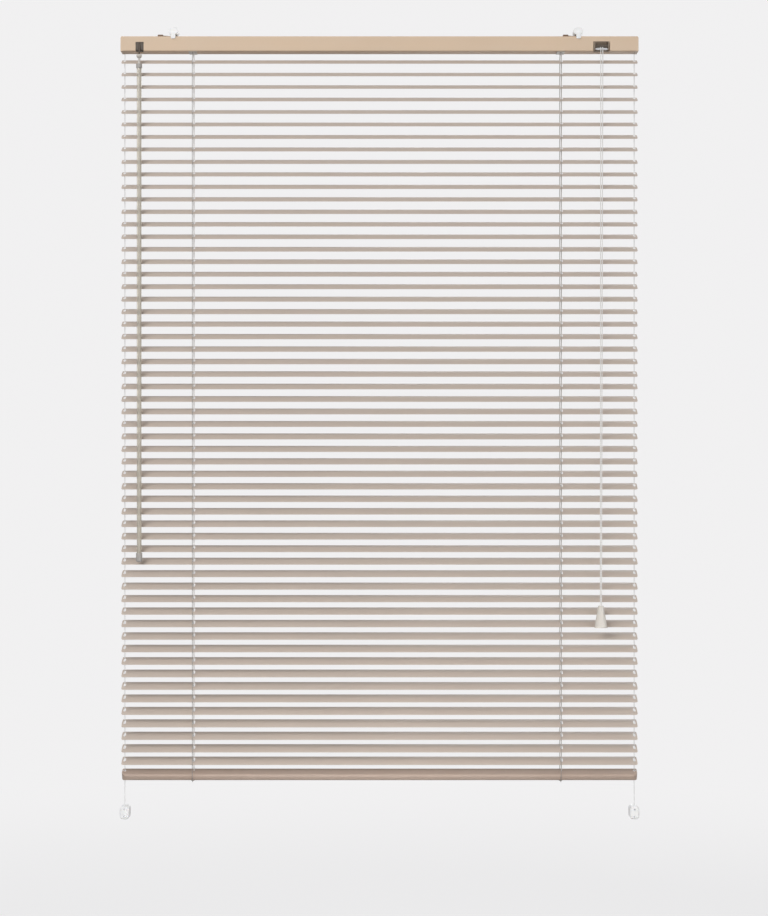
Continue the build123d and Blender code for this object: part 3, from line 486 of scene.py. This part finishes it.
# string ladders: strings, their ends round the bottom rail, a pair of rungs under each slat
ladder = {
    "stringRadius": 0.45 * mm, "stringFineness": 1, "spread": 12.57 * mm,
    "rungRadius": 0.22 * mm, "rungFineness": 0, "rungStep": 0.45 * mm, "rungDrop": 0.4 * mm,
    "drumLoop": 8.3 * mm, "drumZ": -11.3 * mm, "snoutZ": -26 * mm,
    "railCentreZ": -1184.92 * mm, "railWidth": 22 * mm, "railHeight": 11.4 * mm, "standOff": 0.85 * mm,
    "buttonRadius": 4.0 * mm, "buttonShift": 3.5 * mm,
}
lean = radians(slat["tilt"])


def onBottomRail(along, up):
    return (
        midY + along * cos(lean) - up * sin(lean),
        ladder["railCentreZ"] + along * sin(lean) + up * cos(lean),
    )


edgeDrop = slat["width"] / 2 * sin(lean)
underRail = -(ladder["railHeight"] / 2 + ladder["standOff"])
beforeRail = ladder["railWidth"] / 2 + ladder["standOff"]
stringEnd = ladder["buttonRadius"] + ladder["standOff"]
frontKnee = (ladder["spread"] - beforeRail * cos(lean)) / sin(lean)
backKnee = (ladder["spread"] + underRail * sin(lean)) / cos(lean)
frontY, backY = midY - ladder["spread"], midY + ladder["spread"]
hangZ = onBottomRail(-beforeRail, frontKnee)[1]
frontFoot = [
    onBottomRail(-ladder["buttonShift"] - stringEnd, underRail), onBottomRail(-beforeRail, underRail),
    (frontY, hangZ),
]
backFoot = [
    onBottomRail(stringEnd - ladder["buttonShift"], underRail), onBottomRail(backKnee, underRail),
    (backY, hangZ),
]
frontString = [
    (frontY, hangZ), (frontY, slat["firstZ"] - edgeDrop / 2),
    (midY - ladder["drumLoop"], ladder["snoutZ"]),
]
backString = [
    (backY, hangZ), (backY, slat["firstZ"] + edgeDrop + slat["crown"]),
    (midY + ladder["drumLoop"], ladder["snoutZ"]),
]
for side, x in ladderX.items():
    strings = bmesh.new()
    routes = [[(x, *place) for place in route] for route in (frontString, backString)]
    strings.from_mesh(routeMesh("ladderStrings", routes, ladder["stringRadius"], ladder["stringFineness"]))
    strung = finishPiece(f"ladderStrings_{side}", strings, "ladder_string", "blind", roundAngle)
    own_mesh(strung)
    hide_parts(f"ladder_{side}")
    ends = bmesh.new()
    routes = [[(x, *place) for place in route] for route in (frontFoot, backFoot)]
    ends.from_mesh(routeMesh("ladderEnds", routes, ladder["stringRadius"], ladder["stringFineness"]))
    tiedOn = finishPiece(f"ladderEnds_{side}", ends, "ladder_string", "bottom", roundAngle)
    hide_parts(f"ladder_{side}")
    rise = [ladder["snoutZ"], ladder["drumZ"], ladder["drumZ"] + ladder["drumLoop"]]
    loop = [(x, midY - ladder["drumLoop"], z) for z in rise]
    loop += [(x, midY + ladder["drumLoop"], z) for z in reversed(rise)]
    overName = f"ladderLoop_{side}"
    overMesh = routeMesh(overName, [loop], ladder["stringRadius"], ladder["stringFineness"], True)
    over = bpy.data.objects.new(overName, overMesh)
    keepPiece(over, "ladder_string", "blind")
    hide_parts(f"ladder_{side}")
rungFall = ladder["spread"] * tan(lean)
rungZ = slat["firstZ"] - ladder["rungDrop"] / cos(lean)
rungs = [
    [(x + step, frontY, rungZ - rungFall), (x + step, backY, rungZ + rungFall)]
    for x in ladderX.values() for step in (-ladder["rungStep"], ladder["rungStep"])
]
rungMesh = routeMesh("rungs", rungs, ladder["rungRadius"], ladder["rungFineness"])
for row in range(slat["count"]):
    one = bmesh.new()
    one.from_mesh(rungMesh)
    bmesh.ops.translate(one, vec=(0, 0, -slat["pitch"] * row), verts=one.verts)
    made = finishPiece(f"rungs{row + 1:02}", one, "ladder_string", None, roundAngle)
    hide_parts("ladder_left", "ladder_right")
    carryRow(made)
bpy.data.meshes.remove(rungMesh)
print("ladders strung:", slat["count"], "pairs of rungs on each")


# lift cords: a drop through the slats and a run along the rail to the roller
liftCord = {
    "radius": 0.7 * mm, "knotZ": -1183.12 * mm, "runZ": -21.4 * mm, "rollZ": -17.7 * mm,
    "riseX": (304 * mm, 339 * mm), "runY": {"left": -17.8 * mm, "right": midY}, "bendStep": 9 * mm,
    "exitStep": 3 * mm, "fineness": 2, "knotFineness": 2,
}
for side, x in cordX.items():
    drop = bmesh.new()
    knotPlace = (x, midY, liftCord["knotZ"])
    plumb = [[knotPlace, (x, midY, railBottom)]]
    drop.from_mesh(routeMesh("liftDrop", plumb, liftCord["radius"], liftCord["fineness"]))
    bmesh.ops.create_icosphere(
        drop, subdivisions=liftCord["knotFineness"], radius=knotRadius, matrix=Matrix.Translation(knotPlace)
    )
    fallen = finishPiece(f"liftDrop_{side}", drop, "cord", "blind", roundAngle)
    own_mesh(fallen)
    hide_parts(f"lift_cord_{side}")
    runY, exitX = liftCord["runY"][side], pullCord["exits"][side]
    runZ, rollZ = liftCord["runZ"], liftCord["rollZ"]
    step, shortStep = liftCord["bendStep"], liftCord["exitStep"]
    riseStart, riseEnd = liftCord["riseX"]
    run = [
        (x, midY, railBottom), (x, midY, runZ), (x + step, midY, runZ),
        (riseStart - step, runY, runZ), (riseStart, runY, runZ), (riseEnd, runY, rollZ),
        (exitX - shortStep, runY, rollZ), (exitX, runY, rollZ), (exitX, runY - shortStep, rollZ),
        (exitX, pullCord["rollerBack"], rollZ),
    ]
    alongMesh = routeMesh(f"liftRun_{side}", [run], liftCord["radius"], liftCord["fineness"], True)
    along = bpy.data.objects.new(f"liftRun_{side}", alongMesh)
    keepPiece(along, "cord", "blind")
    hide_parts(f"lift_cord_{side}")
print("lift cords run")


# folded, moulded and turned pieces, with the edges that such pieces have, in mm
brokenEdges = {
    "head_rail": 0.10, "end_cap": 0.5, "bottom_rail": 0.15, "bottom_cap": 0.5,
    "clamp_body": 0.6, "clamp_hook": 0.3, "clamp_screws": 0.2, "guide_holder": 0.8, "swivel_catch": 0.4,
    "ladder_button": 0.5, "cord_lock": 0.3, "cord_roller": 0.3, "locking_pin": 0.3, "cord_tassel": 0.4,
    "tilter_housing": 0.3, "drum_cradle": 0.25, "tilt_drum": 0.25, "worm_wheel": 0.15, "worm": 0.12,
    "tilt_rod": 0.3, "wand_socket": 0.3, "wand_sleeve": 0.5, "tilt_wand": 0.7, "wand_grip": 0.8,
}
for nodeName in frame["nodes"]:
    kind = nodeName.removesuffix("_left").removesuffix("_right")
    if kind in brokenEdges:
        refined(nodeName, brokenEdges[kind] * mm)
for nodeName, solid in frame["nodes"].items():
    if nodeName.startswith("guide_wire"):
        solid.data.materials.clear()
        solid.data.materials.append(materials[slotOf[nodeName]])


# eyelets of the bottom rail, where the guide wires go through its caps
eyelet = {
    "ring": 1.75 * mm, "thickness": 0.5 * mm, "sides": 8, "steps": 20, "weld": 0.001 * mm,
    "sharpAngle": 60,
}
eyelets = bmesh.new()
for x in (-guideX, guideX):
    lift = ladder["railHeight"] / 2
    y, z = onBottomRail(lift * tan(lean), lift)
    section = bmesh.ops.create_circle(
        eyelets, segments=eyelet["sides"], radius=eyelet["thickness"],
        matrix=Matrix.Translation((eyelet["ring"], 0, 0)) @ Matrix.Rotation(pi / 2, 4, "X"),
    )["verts"]
    already = set(eyelets.verts) - set(section)
    bmesh.ops.spin(
        eyelets, geom=section + edgesOf(section), cent=(0, 0, 0), axis=(0, 0, 1), angle=2 * pi,
        steps=eyelet["steps"], use_merge=True,
    )
    made = [vertex for vertex in eyelets.verts if vertex not in already]
    seated = Matrix.Translation((x, y, z)) @ Matrix.Rotation(lean, 4, "X")
    bmesh.ops.transform(eyelets, matrix=seated, verts=made)
bmesh.ops.remove_doubles(eyelets, verts=eyelets.verts, dist=eyelet["weld"])
bmesh.ops.recalc_face_normals(eyelets, faces=eyelets.faces)
finishPiece("wireEyelets", eyelets, "white_plastic", "bottom", eyelet["sharpAngle"])
print("eyelets set")


# holder screws: a round head with a six-sided socket
screw = {
    "radius": 1.5 * mm, "sides": 24, "socket": 0.85 * mm, "socketSides": 6, "socketDepth": 1.3 * mm,
    "bevel": 0.15 * mm, "offWire": 0.8 * mm, "rimAngle": 1.0, "tolerance": 0.001 * mm,
}
holderScrews = bmesh.new()
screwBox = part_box("holder_screws")
screwZ = (screwBox[0].z + screw["radius"], screwBox[1].z - screw["radius"])
# the lower one goes through the holder, the upper one ends on the wire
screwTips = (screwBox[1].y, midY - screw["offWire"])


def isLevel(edge):
    first, second = edge.verts
    return abs(first.co.z - second.co.z) < screw["tolerance"]


for x in (-guideX, guideX):
    for z, tip in zip(screwZ, screwTips):
        already = set(holderScrews.verts)
        rim = bmesh.ops.create_circle(holderScrews, segments=screw["sides"], radius=screw["radius"])
        mouth = bmesh.ops.create_circle(holderScrews, segments=screw["socketSides"], radius=screw["socket"])
        rimEdges, mouthEdges = edgesOf(rim["verts"]), edgesOf(mouth["verts"])
        bmesh.ops.triangle_fill(
            holderScrews, use_beauty=True, use_dissolve=False, edges=rimEdges + mouthEdges
        )
        for edges, depth in ((rimEdges, tip - screwBox[0].y), (mouthEdges, screw["socketDepth"])):
            pulled = bmesh.ops.extrude_edge_only(holderScrews, edges=edges)["geom"]
            pulledVerts = [item for item in pulled if isinstance(item, bmesh.types.BMVert)]
            bmesh.ops.translate(holderScrews, vec=(0, 0, -depth), verts=pulledVerts)
            pulledEdges = [item for item in pulled if isinstance(item, bmesh.types.BMEdge)]
            openEdges = [edge for edge in pulledEdges if edge.is_boundary and isLevel(edge)]
            bmesh.ops.contextual_create(holderScrews, geom=openEdges)
        made = [vertex for vertex in holderScrews.verts if vertex not in already]
        driven = Matrix.Translation((x, screwBox[0].y, z)) @ Matrix.Rotation(pi / 2, 4, "X")
        bmesh.ops.transform(holderScrews, matrix=driven, verts=made)
bmesh.ops.recalc_face_normals(holderScrews, faces=holderScrews.faces)
rimChord = 2 * screw["radius"] * sin(pi / screw["sides"])
outer = [
    edge for edge in holderScrews.edges
    if edge.is_manifold and edge.calc_face_angle() > screw["rimAngle"]
    and abs(edge.calc_length() - rimChord) < screw["tolerance"]
]
bmesh.ops.bevel(
    holderScrews, geom=outer, offset=screw["bevel"], offset_type="OFFSET", affect="EDGES", segments=2,
    profile=0.5, material=-1,
)
screws = finishPiece("holderScrews", holderScrews, "steel", bodyOf["holder_screws"])
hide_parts("holder_screws")
print("holder screws set")


# tassel: the two cords end in knots inside it
tasselKnot = {"radius": 2.2 * mm, "fineness": 2}
knots = bmesh.new()
for side in sides:
    bmesh.ops.create_icosphere(
        knots, subdivisions=tasselKnot["fineness"], radius=tasselKnot["radius"],
        matrix=Matrix.Translation((cordEnds[side], tasselY, cordFoot)),
    )
tied = finishPiece("tasselKnots", knots, "cord", "tassel", roundAngle)
print("tassel tied")


# floor, world and lamps
studio = {
    "floorZ": -2.12, "floorRadius": 14.0, "floorSides": 96, "fade": (2.2, 5.5),
    "colour": (0.25, 0.249, 0.249), "bounce": (0.16, 0.155, 0.15), "roughness": 0.9, "specular": 0.1,
    "glow": 0.67, "glowColour": (1, 0.994, 1),
    "world": 0.38, "ambient": (0.95, 0.97, 1.0), "white": (0.88, 0.875, 0.88),
    "key": {"place": (-1.9, -3.2, 1.5), "size": 2.4, "power": 98, "towards": -0.6},
    "fill": {"place": (2.3, -2.8, -0.4), "size": 2.4, "power": 38, "towards": -0.6},
    "low": {"place": (-0.1, -1.3, -1.5), "size": 0.4, "power": 1.0, "towards": -1.15, "spread": 70},
    "back": {"place": (0.9, 2.6, 0.3), "size": 2.0, "power": 20, "towards": -0.6},
}


def straightRays(tree):
    # 1 for what the camera, a reflection or a clear piece shows, 0 for the light that a surface gathers
    seen = node(tree, "ShaderNodeLightPath").outputs
    sharp = [(0, seen["Is Camera Ray"]), (1, seen["Is Glossy Ray"])]
    either = node(tree, "ShaderNodeMath", sharp, operation="MAXIMUM").outputs[0]
    through = [(0, either), (1, seen["Is Transmission Ray"])]
    return node(tree, "ShaderNodeMath", through, operation="MAXIMUM").outputs[0]


disc = bmesh.new()
bmesh.ops.create_circle(
    disc, cap_ends=True, segments=studio["floorSides"], radius=studio["floorRadius"],
    matrix=Matrix.Translation((0, 0, studio["floorZ"])),
)
floorMesh = bpy.data.meshes.new("studioFloor")
disc.to_mesh(floorMesh)
disc.free()
floor = bpy.data.objects.new("studioFloor", floorMesh)
bpy.context.collection.objects.link(floor)
floorMaterial, floorTree, floorShader = startMaterial("studioPaper")
direct = straightRays(floorTree)
tone = mixed(floorTree, direct, studio["bounce"], studio["colour"])
floorTree.links.new(tone, floorShader.inputs["Base Color"])
glow = node(floorTree, "ShaderNodeMath", [(0, direct)], operation="MULTIPLY")
glow.inputs[1].default_value = studio["glow"]
floorTree.links.new(glow.outputs[0], floorShader.inputs["Emission Strength"])
floorShader.inputs["Emission Color"].default_value = (*studio["glowColour"], 1)
floorShader.inputs["Roughness"].default_value = studio["roughness"]
floorShader.inputs["Specular IOR Level"].default_value = studio["specular"]
where = node(floorTree, "ShaderNodeTexCoord").outputs["Object"]
level = node(floorTree, "ShaderNodeMapping", [("Vector", where)], Scale=(1, 1, 0)).outputs["Vector"]
away = node(floorTree, "ShaderNodeVectorMath", [(0, level)], operation="LENGTH").outputs["Value"]
faded = node(floorTree, "ShaderNodeMapRange", [("Value", away)], interpolation_type="SMOOTHSTEP")
faded.inputs["From Min"].default_value, faded.inputs["From Max"].default_value = studio["fade"]
farAndDirect = [(0, faded.outputs["Result"]), (1, direct)]
gone = node(floorTree, "ShaderNodeMath", farAndDirect, operation="MULTIPLY")
distance = node(floorTree, "ShaderNodeEmission", Color=(*studio["white"], 1))
paper = node(
    floorTree, "ShaderNodeMixShader",
    [(0, gone.outputs[0]), (1, floorShader.outputs["BSDF"]), (2, distance.outputs["Emission"])],
)
floorTree.links.new(paper.outputs["Shader"], floorTree.nodes["Material Output"].inputs["Surface"])
floorMesh.materials.append(floorMaterial)

world = bpy.data.worlds.new("studioWorld")
world.use_nodes = True
worldTree = world.node_tree
ambient = worldTree.nodes["Background"]
ambient.inputs["Color"].default_value = (*studio["ambient"], 1)
ambient.inputs["Strength"].default_value = studio["world"]
behind = node(worldTree, "ShaderNodeBackground", Color=(*studio["white"], 1))
around = node(worldTree, "ShaderNodeMixShader", [
    (0, straightRays(worldTree)), (1, ambient.outputs["Background"]), (2, behind.outputs["Background"]),
])
worldTree.links.new(around.outputs["Shader"], worldTree.nodes["World Output"].inputs["Surface"])
bpy.context.scene.world = world
for lamp in ("key", "fill", "low", "back"):
    lampData = bpy.data.lights.new(lamp, "AREA")
    lampData.size = studio[lamp]["size"]
    lampData.energy = studio[lamp]["power"]
    lampData.spread = radians(studio[lamp].get("spread", 180))
    lampObject = bpy.data.objects.new(lamp, lampData)
    lampObject.location = studio[lamp]["place"]
    aim = Vector((0, 0, studio[lamp]["towards"])) - lampObject.location
    lampObject.rotation_euler = aim.to_track_quat("-Z", "Y").to_euler()
    bpy.context.collection.objects.link(lampObject)
print("studio lit")
